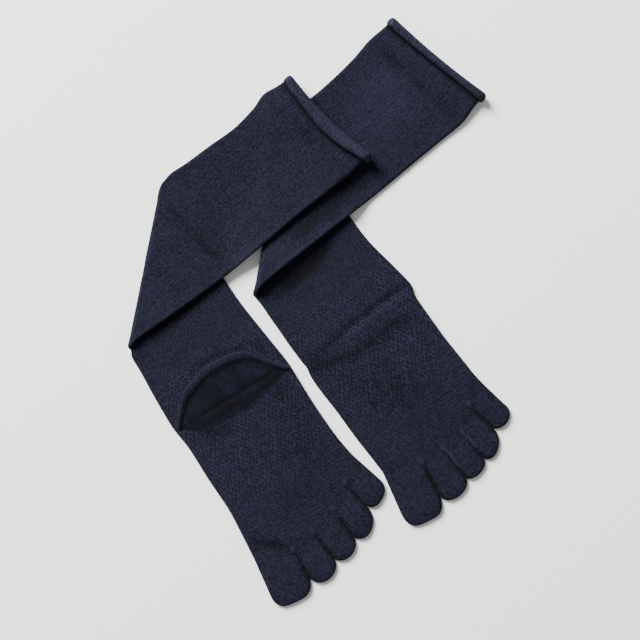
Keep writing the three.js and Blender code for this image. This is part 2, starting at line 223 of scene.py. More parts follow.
LEFT_SOCK = {
    "origin": (12.7, 113),
    "crease": ((54.6, -52.2), (-50.6, 45.6)),
    "roll_width": (7.4, 6.3, 6.5, 7.5, 7.6),
    "roll_height": (5.1, 4.7, 4.6, 4.8, 5.6),
    "roll_painted_light": (0.04, 0.1, 0.14, 0.14, 0.16),
    "own_edge": 46.6,
    "loft": 5.0,
    "top_edge_slope": -0.12,
    "leg": [
        ("cuff", -191.5, -38, -169.5, 56, 1.6, 0),
        ("welt", -178, -41, -156, 55.2, 1.4, 0),
        ("below the welt", -163, -45.4, -142, 54.4, 1, 0),
        ("narrowing", -140, -46.4, -124, 50.6, 0, 0),
        ("calf", -110, -47.6, -104, 47.9, 0, 0),
        ("full calf", -74, -49.3, -86, 46.4, 0, 0),
        ("lower calf", -36, -50.2, -72, 46, 0, 0),
        ("above the crease", 12, -51.2, -60, 45.8, 0, 0),
    ],
    "shin": [
        ("under the crease", 60, -53.8, -24, 45.6, 0, 0),
        ("shin", 74, -54.4, 22, 45.2, 0, 0),
        ("ankle", 92, -53.8, 66, 47, 0, 0),
    ],
    "heel": [
        ("above the heel", 110, -53.2, 98, 53.4, 0, 0),
        ("valley at the heel", 126, -52, 116, 57, 0, -0.1),
        ("ridge at the heel", 131, -51.4, 122, 57.2, 0, 0.5),
        ("under the ridge", 138, -52.6, 130, 55.2, 0, 0.5),
        ("under the heel", 151, -52.4, 148, 55.8, 0, 0.4),
    ],
    "foot": [
        ("arch", 174, -50.4, 170, 56.8, 0, 0.3),
        ("instep", 200, -49, 194, 59.2, 3, 0.3),
        ("ball", 220, -47.2, 209, 60.6, 10, 0.3),
        ("toe roots", 236, -45.8, 221, 62.8, 18, 0.1),
    ],
    "toes": [
        ("big toe", 290.2, -36.4, 0.55),
        ("second toe", 286.9, -4.7, 1.05),
        ("middle toe", 280.2, 21.5, 1.1),
        ("fourth toe", 271.8, 43.6, 0.95),
        ("little toe", 256.6, 63.6, 1.05),
    ],
    "gaps": [
        (250, -14.5, 278, -17.1),
        (250, 6.5, 277.3, 9),
        (248, 26.8, 271.3, 29.7),
        (232, 44, 254.6, 49.5),
    ],
    "toe_sides": ((274, -51.9), (243, 68)),
}

# Wrinkles of the visible side, each along a line of (along, across) points on the flat pattern.
# A height below 0 is a groove. Shade is painted into the cloth's colour: painted shade in grooves,
# hollows, creases and under folds, and painted light on ridges, rims and seams where it is below 0;
# the broad ones paint light and shade over whole areas.
RIGHT_WRINKLES = [
    # name, line, width, height, painted shade (painted light below 0)
    ("groove below the welt", ((-157, 54), (-160, 38), (-167, 15), (-171, -5)), 3.2, -0.5, 0.12),
    ("its lower end", ((-173, -16), (-178, -36)), 3.0, -0.35, 0.08),
    ("drop off the lower leg", ((-42, 24), (-47, -6), (-49, -25), (-55, -36)), 2.8, -0.6, 0.32),
    ("dimple by the fold", ((60, -42), (70, -45)), 3.5, -0.6, 0.2),
    ("shade over the heel", ((96, -22), (94, -8), (95, 6), (98, 18), (101, 28)), 2.6, -0.4, 0.34),
    ("shade beside the heel", ((99, 26), (103, 36), (116, 43)), 4.2, -0.2, 0.4),
    ("shade under the fold", ((57, -36), (54, -16), (50.5, 2), (49, 24)), 3.6, -0.2, 0.3),
    ("shade below the heel's end", ((141, 46), (150, 30), (155, 15)), 6.5, -0.2, 0.3),
    ("shade of the calf", ((-170, 48), (-118, 20), (-70, -20)), 18, 0, 0.18),
    ("shade of the foot", ((150, 34), (192, 24), (232, 16)), 20, 0, 0.24),
    ("shade under the heel", ((136, -46), (145, -34), (149.5, -20), (151, -8)), 5.5, -0.3, 0.42),
    ("hollow of the sole", ((228, -34), (232, -8), (228, 22)), 13, -0.5, 0.14),
    ("crease of the big toe", ((242, -54), (245, -46), (251, -39), (259, -31)), 3.2, -1.2, 0.5),
    ("puff of the big toe", ((250, -52), (256, -45), (263, -37)), 3.5, 0.7, -0.12),
]
LEFT_WRINKLES = [
    ("groove below the welt", ((-146, 46), (-149, 30), (-151, 16)), 4.2, -0.6, 0.34),
    ("its middle", ((-150, 12), (-153, 2), (-156, -10)), 3.2, -0.8, 0.34),
    ("its lower end", ((-158, -20), (-162, -38)), 4.4, -0.5, 0.32),
    ("valley over the heel", ((118.5, 56), (119.2, 36), (120, 10), (121.5, -14)), 3.2, -0.9, 0.4),
    ("its far end", ((122, -8), (126, -24), (129, -40), (129, -52)), 3.4, -0.6, 0.4),
    ("ridge over the heel", ((124, 54), (125.3, 36), (127, 12), (130, -10)), 2.8, 0.35, -0.06),
    ("hollow under the heel", ((143, 47), (141, 28), (143, 8), (144, -14)), 6.5, -0.6, 0.46),
    ("shade under the fold", ((68, -38), (65, -18), (62.5, 0), (57, 20)), 5.2, -0.4, 0.64),
    ("hollow at the side", ((130, -56), (136, -42), (140, -24), (145, -8)), 4.6, -0.4, 0.52),
    ("light of the upper leg", ((-150, 44), (-118, 10), (-74, -12)), 20, 0, -0.24),
    ("shade beside the upper leg", ((-64, -31), (-42, -34), (-18, -36), (10, -37)), 5.5, 0, 0.36),
    ("light of its rim", ((-54, -51), (-12, -51), (34, -50)), 4.5, 0, -0.3),
    ("shade of the foot", ((150, -34), (190, 2), (230, 30)), 22, 0, 0.28),
    ("swelling at the side", ((117, -48), (119, -36), (121, -24)), 4.0, 0.6, 0),
    ("light over the cuff", ((-168, 36), (-170, 14), (-174, -12)), 6.5, 0.2, -0.18),
    ("light below the groove", ((-134, 30), (-136, 8), (-138, -20)), 9.0, 0.2, -0.14),
    ("seam of the middle toe", ((247, 7.4), (258, 8.2), (269.4, 9.4)), 1.1, 0.5, -0.9),
    ("seam of the fourth toe", ((245.7, 27.4), (256, 28.6), (266.8, 30.3)), 1.1, 0.5, -0.9),
]


def fall(distance, length):
    """1 up to an edge, and smoothly down to 0 at `length` beyond it."""
    share = np.clip(np.asarray(distance) / length, 0, 1)
    return 1 - share * share * (3 - 2 * share)


def smooth_step(x, low, high):
    """0 below low, 1 above high, and smooth between."""
    return 1 - fall(np.asarray(x) - low, high - low)


def hump(distance, width):
    """1 at a place, and smoothly down to almost 0 at twice `width` from it."""
    return np.exp(-((distance / width) ** 2))


def linear(hex_colour):
    """A linear colour with alpha from an sRGB hex value such as #25293c."""
    channels = [int(hex_colour[i : i + 2], 16) / 255 for i in (1, 3, 5)]
    return [c / 12.92 if c <= 0.04045 else ((c + 0.055) / 1.055) ** 2.4 for c in channels] + [1.0]


def soft_noise(u, v, size, seed):
    """Smooth noise from -1 to 1 whose lumps are `size` wide."""
    lattice = np.random.default_rng(seed).uniform(-1, 1, (128, 128))
    x, y = np.asarray(u) / size, np.asarray(v) / size
    i, j = np.floor(x).astype(int), np.floor(y).astype(int)
    s, t = x - i, y - j
    s, t = s * s * (3 - 2 * s), t * t * (3 - 2 * t)
    i, j = i % 127, j % 127
    near = lattice[i, j] * (1 - s) + lattice[i + 1, j] * s
    far = lattice[i, j + 1] * (1 - s) + lattice[i + 1, j + 1] * s
    return near * (1 - t) + far * t


def lumps(sizes, u, v, seed):
    """Soft lumps laid over each other. sizes holds the height and width of each kind."""
    return sum(
        height * soft_noise(u, v, width, seed + i) for i, (height, width) in enumerate(sizes)
    )


def through_four(a, b, c, d, share):
    """The values at `share` of the way from b to c on a smooth curve through a, b, c and d."""
    square, cube = share**2, share**3
    return (
        (2 * cube - 3 * square + 1) * b
        + (cube - 2 * square + share) * (c - a) / 2
        + (3 * square - 2 * cube) * c
        + (cube - square) * (d - b) / 2
    )


def smooth_line(line, steps):
    """Points on a smooth curve through a line of points, `steps` to a piece."""
    line = np.array(line, float)
    last = len(line) - 1
    share = (np.arange(steps) / steps)[:, None]
    runs = [
        through_four(line[max(i - 1, 0)], line[i], line[i + 1], line[min(i + 2, last)], share)
        for i in range(last)
    ]
    return np.concatenate([*runs, line[-1:]])


def at_stations(share, values):
    """Smooth values at a share of the way across, from values at even stations."""
    line = smooth_line(list(zip(np.linspace(0, 1, len(values)), values)), 8)
    return np.interp(share, line[:, 0], line[:, 1])


def smooth_run(rows, steps):
    """Sections on a smooth curve through rows, about `steps[i]` apart after row i."""
    runs = []
    last = len(rows) - 1
    for i in range(last):
        near = [rows[max(i - 1, 0)], rows[i], rows[i + 1], rows[min(i + 2, last)]]
        length = (rows[i + 1] - rows[i])[[LEFT_ALONG, RIGHT_ALONG]].mean()
        count = max(round(length / steps[i]), 1)
        runs.append(through_four(*near, (np.arange(count) / count)[:, None]))
    return np.concatenate([*runs, rows[-1:]])


def crease_normal(crease):
    """Unit vector on the flat pattern across the crease, towards the cuff."""
    (a, b), (c, d) = crease
    length = math.hypot(c - a, d - b)
    return -(d - b) / length, (c - a) / length


def crease_section(crease, beyond):
    """The section that lies `beyond` the crease, on its cuff side."""
    (a, b), (c, d) = crease
    along = beyond / crease_normal(crease)[0]
    return np.array([[a + along, b, c + along, d, 0, 0]], float)


def table_rows(sock, *names):
    """The numbers of some of a sock's tables, in order."""
    return np.array([row[1:] for name in names for row in sock[name]], float)


def shape_corners(sections, crease):
    """Rounds off the fold's right corner, and spreads the cloth at its left one."""
    beyond = beyond_crease(crease, sections[:, RIGHT_ALONG], sections[:, RIGHT])
    turn = np.clip((beyond + HALF_BEND) / BEND_RADIUS, 0, np.pi)
    inside = BEND_HEIGHT * (1 - np.sin(turn)) + np.maximum(np.abs(beyond) - HALF_BEND, 0)
    inside = np.minimum(inside / CORNER[1], 1)
    inwards = sections[:, [LEFT_ALONG, LEFT]] - sections[:, [RIGHT_ALONG, RIGHT]]
    inwards /= np.linalg.norm(inwards, axis=1, keepdims=True)
    sections[:, [RIGHT_ALONG, RIGHT]] += CORNER[0] * (1 - np.sqrt(inside))[:, None] ** 2 * inwards
    beyond = beyond_crease(crease, sections[:, LEFT_ALONG], sections[:, LEFT])
    sections[:, LEFT] -= SPREAD[0] * hump(beyond, SPREAD[1])


def body_sections(sock):
    """All sections from the cuff to the toe roots, with their half thickness and middle height."""
    crease = sock["crease"]
    above = np.concatenate([table_rows(sock, "leg"), crease_section(crease, HALF_BEND)])
    below = np.concatenate(
        [crease_section(crease, -HALF_BEND), table_rows(sock, "shin", "heel", "foot")]
    )
    bend = [crease_section(crease, HALF_BEND * turn) for turn in np.linspace(1, -1, 13)[1:-1]]
    shin, heel, foot = (len(sock[name]) for name in ("shin", "heel", "foot"))
    steps = [FOOT_STEP] * shin + [HEEL_STEP] * heel + [FOOT_STEP] * foot
    sections = np.concatenate(
        [smooth_run(above, [LEG_STEP] * len(above)), *bend, smooth_run(below, steps)]
    )
    shape_corners(sections, crease)
    middle = sections[:, [LEFT_ALONG, RIGHT_ALONG]].mean(axis=1)
    near = fall(middle - middle[0], MOUTH_RUN)
    half = WALL + (SLIT + (MOUTH_AIR - SLIT) * near) / 2
    lift = ROLL_UNDER * max(sock["roll_height"]) + (MOUTH_AIR - SLIT) / 2
    return np.column_stack([sections, half, TUBE / 2 - lift * near])


def crotch_shares(sock):
    """Where the gaps between the toes are, as shares of the way across the foot's last ring."""
    last = body_sections(sock)[-1]
    way = last[[RIGHT_ALONG, RIGHT]] - last[[LEFT_ALONG, LEFT]]
    width = np.hypot(*way)
    return [
        ((across - last[LEFT]) * width / way[1] - last[HALF]) / (width - 2 * last[HALF])
        for _, across, _, _ in sock["gaps"]
    ]


def ring_places(sock):
    """Places round a ring: share of the way across, way out at the side edges, and way up.

    They run along the bottom, round the right edge, back along the top and round the left edge,
    and they crowd where the toes part. Also gives the bottom's places at which the toes part.
    """
    cuts = [0, *crotch_shares(sock), 1]
    counts = [max(round(FLAT_STEPS * (b - a)), 8) for a, b in zip(cuts, cuts[1:])]
    shares = []
    for a, b, count in zip(cuts, cuts[1:], counts):
        step = np.arange(count) / count
        shares.append(a + (b - a) * (step - CROWD_AT_TOES * np.sin(2 * np.pi * step) / (2 * np.pi)))
    flat = np.append(np.concatenate(shares), 1)
    turn = np.pi * np.arange(1, CAP_POINTS + 1) / (CAP_POINTS + 1)
    zeros, ones = np.zeros_like(flat), np.ones_like(flat)
    share = np.concatenate([flat, np.ones(CAP_POINTS), flat[::-1], np.zeros(CAP_POINTS)])
    out = np.concatenate([zeros, np.sin(turn), zeros, -np.sin(turn)])
    up = np.concatenate([-ones, -np.cos(turn), ones, np.cos(turn)])
    return {"share": share, "out": out, "up": up, "flat": flat, "parts": np.cumsum([0, *counts])}


def ring_points(sections, places, side, up, shift=0.0):
    """Points of each section's ring on the flat pattern, and their place in the stitch map.

    side and up are the ring's reach from its middle line, and shift moves it to the toes.
    """
    start = sections[:, None, [LEFT_ALONG, LEFT]]
    way = sections[:, None, [RIGHT_ALONG, RIGHT]] - start
    width = np.linalg.norm(way, axis=2, keepdims=True)
    way = way / width
    width = width[..., 0]
    half, centre, raised, bow = (sections[:, None, k] for k in (HALF, CENTRE, RAISE, BOW))
    share, out, rise = places["share"], places["out"], places["up"]
    across = half + share * (width - 2 * half) + out * side
    along = start[..., 0] + way[..., 0] * across + way[..., 1] * shift
    along = along + bow * 4 * share * (1 - share)
    points = np.stack(
        [
            along,
            start[..., 1] + way[..., 1] * across - way[..., 0] * shift,
            centre + rise * up + np.maximum(rise, 0) * raised,
        ],
        axis=2,
    )
    round_edge = np.sign(out) * half * (np.pi / 2 - np.abs(np.arcsin(rise)))
    cloth = half + share * (width - 2 * half) + round_edge
    stitches = np.stack([(cloth / width - 0.5) * WALES_WIDTH, along], axis=2)
    return points, stitches


def roll_rings(sock, mouth, places):
    """The rolled edge, from its cut edge, tucked against the leg, round to where the leg starts."""
    share, out, rise = places["share"], places["out"], places["up"]
    uneven = 1 + lumps(ROLL_LUMPS, share * ROLL_REACH[0], rise * ROLL_REACH[1], 4)
    width = at_stations(share, sock["roll_width"]) * uneven
    height = at_stations(share, sock["roll_height"]) * uneven
    curl_along = width / 2 - WALL
    curl_side = (height * ROLL_AT_SIDES - WALL) / 2
    curl_up = (height * np.where(rise > 0, ROLL_UNDER, 1) - WALL) / 2
    tuck = 2 * np.pi - np.arcsin((np.minimum(curl_side, curl_up) - 0.1) / (curl_up + WALL))
    rings, stitches = [], []
    for step in np.linspace(0, 1, ROLL_STEPS):
        turn = (tuck - 2 * np.pi) * (1 - step) + 1.5 * np.pi * step
        along = curl_along * (1 + np.cos(turn)) + WALL
        outwards = 1 + np.sin(turn)
        ring, stitch = ring_points(
            mouth[None],
            places,
            mouth[HALF] + curl_side * outwards,
            mouth[HALF] + curl_up * outwards,
            along,
        )
        stitch[..., 1] = stitch[..., 1] - along - (1.5 * np.pi - turn) * (curl_along + WALL)
        rings.append(ring)
        stitches.append(stitch)
    return np.concatenate(rings), np.concatenate(stitches)


def along_line(along, across, line):
    """Distance of each point from a line of points, and how far it lies inside its two ends."""
    away = np.full(np.shape(along), 1e9)
    inside = np.zeros(np.shape(along))
    run = 0.0
    pieces = list(zip(line, line[1:]))
    total = sum(math.dist(a, b) for a, b in pieces)
    for a, b in pieces:
        length = math.dist(a, b)
        way = ((b[0] - a[0]) / length, (b[1] - a[1]) / length)
        on = np.clip((along - a[0]) * way[0] + (across - a[1]) * way[1], 0, length)
        here = np.hypot(along - a[0] - way[0] * on, across - a[1] - way[1] * on)
        nearer = here < away
        away = np.where(nearer, here, away)
        inside = np.where(nearer, np.minimum(run + on, total - run - on), inside)
        run += length
    return away, inside


def wrinkled(wrinkles, seed, along, across):
    """Height and shade that the wrinkles give each point."""
    uneven = 1 + lumps(WRINKLE_LUMPS, across, along, seed + 2)
    height, shade = np.zeros_like(along), np.zeros_like(along)
    at_end, end_widths = WRINKLE_ENDS
    for _, line, width, rise, darker in wrinkles:
        away, inside = along_line(along, across, line)
        full = at_end + (1 - at_end) * np.clip(inside / (end_widths * width), 0, 1)
        share = full * hump(away, width)
        height += rise * share * uneven
        shade += darker * share
    return height, shade


def relief(sock, wrinkles, seed, points, places):
    """How far the visible side stands out from the plain tube, in millimetres, and its shade."""
    along, across = points[..., 0], points[..., 1]
    height, shade = wrinkled(wrinkles, seed, along, across)
    height += lumps(LEG_LUMPS, across, along, seed)
    line_height, line_in, line_width = EDGE_LINE
    from_edge = np.minimum(places["share"], 1 - places["share"]) * FLAT_WIDTH
    height += line_height * hump(from_edge - line_in, line_width)
    for crotch, at, _, _ in sock["gaps"]:
        for _, place, rise, length, width, darker in PARTING:
            share = hump(along - crotch - place, length) * hump(across - at, width)
            height += rise * share
            shade += darker * share
    return height, shade


def beyond_crease(crease, along, across):
    """Distance of a place on the floor from the crease, on its cuff side."""
    normal = crease_normal(crease)
    return (along - crease[0][0]) * normal[0] + (across - crease[0][1]) * normal[1]


def fold(crease, points):
    """Folds points of the flat pattern about the crease. `turned` grows from 0 to 1 over the bend."""
    along, across, height = np.moveaxis(points, -1, 0)
    beyond = beyond_crease(crease, along, across)
    turn = np.clip((beyond + HALF_BEND) / BEND_RADIUS, 0, np.pi)
    reach = BEND_HEIGHT - height
    on_curve = -HALF_BEND + reach * np.sin(turn)
    moved = np.where(turn < np.pi, on_curve, -beyond) - beyond
    moved = np.where(turn > 0, moved, 0)
    normal = crease_normal(crease)
    folded = np.stack(
        [along + normal[0] * moved, across + normal[1] * moved, BEND_HEIGHT - reach * np.cos(turn)],
        axis=-1,
    )
    return folded, turn / np.pi


def lofted(sock, along, across):
    """Height at which a sock's upper leg lies: on its own leg, sprung up along its lower edge."""
    inside = np.maximum(-beyond_crease(sock["crease"], along, across), 0)
    loft = sock["loft"] * hump(inside, LOFT_RUN) * smooth_step(along, *LOFT_RISE)
    return (LAYER + loft) * fall(across - sock["own_edge"], DROP_OFF_OWN_LEG)


def rest_of_left(along, across):
    """Height at which the left sock's upper leg lies: on its own lower leg, then on the floor."""
    return lofted(LEFT_SOCK, along, across)


def rest_of_right(along, across):
    """Height at which the right sock's upper leg lies: on its own leg, and on the left sock."""
    own = lofted(RIGHT_SOCK, along, across)
    there_along = along - LEFT_SOCK["origin"][0]
    there_across = across - LEFT_SOCK["origin"][1]
    crease = LEFT_SOCK["crease"]
    top_edge = crease[1][0] + LEFT_SOCK["top_edge_slope"] * (there_across - crease[1][1])
    outside = np.maximum(beyond_crease(crease, there_along, there_across), top_edge - there_along)
    other = (rest_of_left(there_along, there_across) + LAYER) * fall(outside, DROP_OFF_OTHER_SOCK)
    below_edge = SPRING_EDGE[0] + SPRING_EDGE[1] * across - along
    spring = SPRING * hump(below_edge, SPRING_RUN) * smooth_step(across, *SPRING_RISE)
    return (own**4 + other**4) ** 0.25 + spring


def lay(sock, rest_height, points):
    """Folds points of a sock's flat pattern, lets the upper leg down, and gives metres."""
    folded, turned = fold(sock["crease"], points)
    along, across, height = np.moveaxis(folded, -1, 0)
    height = height + turned * (rest_height(along, across) - LAYER)
    along = along + sock["origin"][0]
    across = across + sock["origin"][1]
    cos, sin = math.cos(LAY_ANGLE), math.sin(LAY_ANGLE)
    x = cos * along - sin * across + PAIR_PLACE[0]
    y = sin * along + cos * across + PAIR_PLACE[1]
    return np.stack([x, y, height], axis=-1) * MM


class Knit:
    """Cloth in the making: points with their stitch map and shade, and faces with their kind."""

    def __init__(self):
        self.points, self.stitches, self.shades, self.faces, self.kinds = [], [], [], [], []
        self.count = 0

    def add(self, points, stitches, shade=0.0):
        """Adds points and gives their numbers, in the same shape."""
        shape = points.shape[:-1]
        self.shades.append(np.broadcast_to(shade, shape).ravel())
        numbers = self.count + np.arange(int(np.prod(shape))).reshape(shape)
        self.points.append(points.reshape(-1, 3))
        self.stitches.append(stitches.reshape(-1, 2))
        self.count += numbers.size
        return numbers

    def tube(self, rings, kind):
        """Faces between rings of point numbers."""
        after = np.roll(rings, -1, axis=1)
        quads = np.stack([rings[:-1], after[:-1], after[1:], rings[1:]], axis=-1).reshape(-1, 4)
        self.faces += quads.tolist()
        self.kinds += [kind] * len(quads)

    def face(self, corners, kind):
        """One face."""
        self.faces.append([int(c) for c in corners])
        self.kinds.append(kind)


def toe_rings(toe, start, places, ends):
    """Rings of one toe on the flat pattern, from where it parts from the foot to its tip.

    start holds the points at which it parts. ends are the places where its two sides start to
    round off to the tip.
    """
    share, out, rise = places
    left, right = (np.array(end, float) for end in ends)
    tip = np.array(toe[1:3], float)
    near, far = start[:, 1].min(), start[:, 1].max()
    spread = (start[:, 1] - near) / (far - near)
    middle_along = (left[0] + right[0]) / 2
    count = max(round((middle_along - start[:, 0].mean()) / TOE_STEP), 4)

    def finger(width, thickness):
        """A round finger's places: its share of the way across, and its height."""
        side = min(thickness, 0.42 * width)
        across = (side + share * (width - 2 * side) + out * side) / width
        crown = TOE_CROWN * np.maximum(rise, 0) * (1 - np.abs(2 * share - 1) ** 3)
        return across, crown

    rings = []
    for step in np.arange(1, count + 1) / count:
        ring_left, ring_right = near * (1 - step) + left[1] * step, far * (1 - step) + right[1] * step
        half = TUBE / 2 * (1 + (TOE_SWELL - 1) * step)
        across, crown = finger(ring_right - ring_left, half)
        parted = smooth_step(step * (middle_along - start[:, 0]), 0, TOE_PARTING)
        across = spread * (1 - parted) + across * parted
        along = start[:, 0] * (1 - step) + (left[0] + across * (right[0] - left[0])) * step
        height = start[:, 2] * (1 - parted) + (half * (1 + rise) + crown) * parted
        rings.append(np.stack([along, ring_left + across * (ring_right - ring_left), height], 1))
    centre, side = (left + right) / 2, (right - left) / 2
    for turn in TIP_TURNS:
        reach = math.cos(turn) ** toe[3] * side
        half = TUBE / 2 * (TOE_TIP_SWELL + (TOE_SWELL - TOE_TIP_SWELL) * math.cos(turn))
        to_tip = min(np.linalg.norm(tip - centre) * (1 - math.sin(turn)) / half, 1)
        rounded = math.sqrt(1 - (1 - to_tip) ** 2)
        across, crown = finger(2 * np.linalg.norm(reach), half * rounded)
        place = centre + (tip - centre) * math.sin(turn) + (2 * across[:, None] - 1) * reach
        height = half + half * rounded * rise + crown * math.cos(turn) ** 0.8
        rings.append(np.column_stack([place, height]))
    return np.stack(rings)


def toe_webs(knit, places, last_ring, bottom, top, rise, dress):
    """The web between each two toes: points, stitches and numbers from the bottom to the top."""
    points, stitches, _ = last_ring
    share = ((rise + 1) / 2)[:, None]
    webs = []
    for parting in places["parts"][1:-1]:
        low, high = bottom[parting], top[parting]
        web = points[low] * (1 - share) + points[high] * share
        web[:, 0] += WEB * np.sqrt(1 - rise**2)
        web_stitches = np.repeat(stitches[low][None], CAP_POINTS, axis=0)
        webs.append((web, web_stitches, knit.add(dress(web)[0], web_stitches, WEB_SHADE)))
    return webs


def toe_places(share, rise):
    """Places round a toe's ring, from the shares of the way across its bottom."""
    zeros = np.zeros_like(share)
    side = (1 - rise**2) ** 0.3
    return (
        np.concatenate([share, np.ones(CAP_POINTS), share[::-1], np.zeros(CAP_POINTS)]),
        np.concatenate([zeros, side, zeros, -side]),
        np.concatenate([zeros - 1, rise, zeros + 1, rise[::-1]]),
    )


def close_tip(knit, tip, count):
    """Closes a toe's last ring, whose bottom and top have `count` points each."""
    low, high = tip[:count], tip[count + CAP_POINTS : 2 * count + CAP_POINTS][::-1]
    for j in range(count - 1):
        knit.face((low[j], low[j + 1], high[j + 1], high[j]), "toe")
    knit.face((low[-1], *tip[count : count + CAP_POINTS], high[-1]), "toe")
    knit.face((high[0], *tip[2 * count + CAP_POINTS :], low[0]), "toe")


def add_toes(knit, sock, last_ring, places, dress):
    """Parts the foot's last ring (points, stitches and numbers) into toes, each closed."""
    steps = len(places["flat"])
    bottom = np.arange(steps)
    right_cap = steps + np.arange(CAP_POINTS)
    top = right_cap[-1] + 1 + np.arange(steps)[::-1]
    left_cap = 2 * steps + CAP_POINTS + np.arange(CAP_POINTS)
    right_edge, left_edge = ([part[cap] for part in last_ring] for cap in (right_cap, left_cap))
    rise = places["up"][right_cap]
    webs = toe_webs(knit, places, last_ring, bottom, top, rise, dress)
    for k, toe in enumerate(sock["toes"]):
        a, b = places["parts"][k], places["parts"][k + 1]
        low, high = bottom[a : b + 1], top[a : b + 1][::-1]
        right = webs[k] if k < len(webs) else right_edge
        left = [part[::-1] for part in webs[k - 1]] if k else left_edge
        points, stitches, numbers = (
            np.concatenate([whole[low], right_part, whole[high], left_part])
            for whole, right_part, left_part in zip(last_ring, right, left)
        )
        share = places["flat"][a : b + 1]
        around = toe_places((share - share[0]) / (share[-1] - share[0]), rise)
        ends = (
            sock["gaps"][k - 1][2:] if k else sock["toe_sides"][0],
            sock["gaps"][k][2:] if k < len(webs) else sock["toe_sides"][1],
        )
        rings = toe_rings(toe, points, around, ends)
        toe_stitches = np.repeat(stitches[None], len(rings), axis=0)
        toe_stitches[..., 1] = rings[..., 0]
        dressed, shade = dress(rings, around[2])
        parted = np.where(around[0] < 0.5, k > 0, k < len(webs))
        shade = shade + GAP_SHADE * parted * np.abs(2 * around[0] - 1) ** GAP_NARROWNESS
        added = knit.add(dressed, toe_stitches, shade)
        knit.tube(np.concatenate([numbers[None], added]), "toe")
        close_tip(knit, added[-1], len(share))


def run_to_toes(sock, places, middle, grid, stitches):
    """Moves the foot's last rings forward to the gaps between the toes."""
    parts = places["flat"][places["parts"]]
    ends = np.interp(parts, places["flat"], grid[-1, : len(places["flat"]), 0])
    wanted = np.array([gap[0] for gap in sock["gaps"]])
    push = np.interp(places["share"], parts, [0, *(wanted - ends[1:-1]), 0])
    push = push * smooth_step(middle, middle[-1] - TOE_RUN, middle[-1])[:, None]
    grid[..., 0] += push
    stitches[..., 1] += push


def knit_sock(sock, wrinkles, rest_height, seed):
    """One sock's outer face as cloth in metres, with its stitch map, shade and faces."""
    places = ring_places(sock)
    sections = body_sections(sock)
    middle = sections[:, [LEFT_ALONG, RIGHT_ALONG]].mean(axis=1)
    clear_of_roll = middle - middle[0] > max(sock["roll_width"]) / 2 * ROLL_MARGIN + ROLL_CLEAR
    mouth, leg = sections[0], sections[clear_of_roll]
    from_mouth = (middle[clear_of_roll] - middle[0])[:, None]
    reach = leg[:, None, HALF]
    grid, stitches = ring_points(leg, places, reach, reach)
    run_to_toes(sock, places, middle[clear_of_roll], grid, stitches)

    beyond = beyond_crease(sock["crease"], grid[..., 0], grid[..., 1])
    visible_up = np.where(beyond > -HALF_BEND, -1, 1)
    seen = np.clip(places["up"] * visible_up, 0, 1)
    raised, shade = relief(sock, wrinkles, seed, grid, places)
    shaped = grid.copy()
    shaped[..., 2] += raised * seen * smooth_step(from_mouth, *MOUTH_FLAT) * visible_up
    # Painted shade on the leg along the roll's inner edge
    off_roll = from_mouth - at_stations(places["share"], sock["roll_width"])
    shade += ROLL_SHADE[0] * hump(np.maximum(off_roll, 0), ROLL_SHADE[1])

    def dress(points, rise=None):
        """Points of the toes laid on the floor, with their relief, and their shade."""
        points = points.copy()
        shade = 0.0
        if rise is not None:
            along, across = points[..., 0], points[..., 1]
            height, shade = wrinkled(wrinkles, seed, along, across)
            shade += TOE_SHADE
            height += lumps(TOE_LUMPS, across, along, seed + 5)
            points[..., 2] += height * np.clip(rise, 0, 1)
        return lay(sock, rest_height, points), shade

    knit = Knit()
    roll, roll_stitches = roll_rings(sock, mouth, places)
    # Painted shade on the rows tucked against the leg, and painted light, more at one end, along the
    # rest of the roll
    tucked = fall(np.arange(ROLL_STEPS), ROLL_TUCKED)[:, None]
    light = at_stations(places["share"], sock["roll_painted_light"])
    roll_shade = ROLL_SHADE[0] * tucked - light * (1 - tucked)
    roll_numbers = knit.add(lay(sock, rest_height, roll), roll_stitches, roll_shade)
    numbers = knit.add(lay(sock, rest_height, shaped), stitches, shade * seen)
    knit.tube(np.concatenate([roll_numbers, numbers[:1]]), "roll")
    knit.tube(numbers, "body")
    add_toes(knit, sock, (shaped[-1], stitches[-1], numbers[-1]), places, dress)
    return knit


def knit_zones(sock, across, along):
    """How far each place of the stitch map is tuck mesh, and how far its rows are ladders."""
    share = np.clip(across / WALES_WIDTH + 0.5, 0, 1)
    _, left_along, _, right_along, _, bow, _ = sock["foot"][-1]
    roots = left_along * (1 - share) + right_along * share + bow * 4 * share * (1 - share)
    border = along + lumps(ZONE_LUMPS, across, along, 91)
    openwork = smooth_step(border, *MESH_IN) * (1 - smooth_step(border - roots, *MESH_OUT))
    return {"openwork": openwork, "ladders": smooth_step(border - roots, *LADDERS_IN)}


def cloth_object(name, knit, attributes, materials):
    """The cloth as one object, with its stitch map, and its shade and attributes by point."""
    mesh = bpy.data.meshes.new(name)
    mesh.from_pydata(np.concatenate(knit.points).tolist(), [], knit.faces)
    mesh.update()
    corners = np.empty(len(mesh.loops), int)
    mesh.loops.foreach_get("vertex_index", corners)
    stitches = np.concatenate(knit.stitches)[corners]
    layer = mesh.uv_layers.new(name="stitches")
    layer.data.foreach_set("uv", stitches.astype(np.float32).ravel())
    for label, values in {**attributes, "shade": np.concatenate(knit.shades)}.items():
        attribute = mesh.attributes.new(label, "FLOAT", "POINT")
        attribute.data.foreach_set("value", values.astype(np.float32).ravel())
    for material in materials:
        mesh.materials.append(material)
    piece = bpy.data.objects.new(name, mesh)
    bpy.context.scene.collection.objects.link(piece)
    bpy.ops.object.select_all(action="DESELECT")
    piece.select_set(True)
    bpy.context.view_layer.objects.active = piece
    return piece


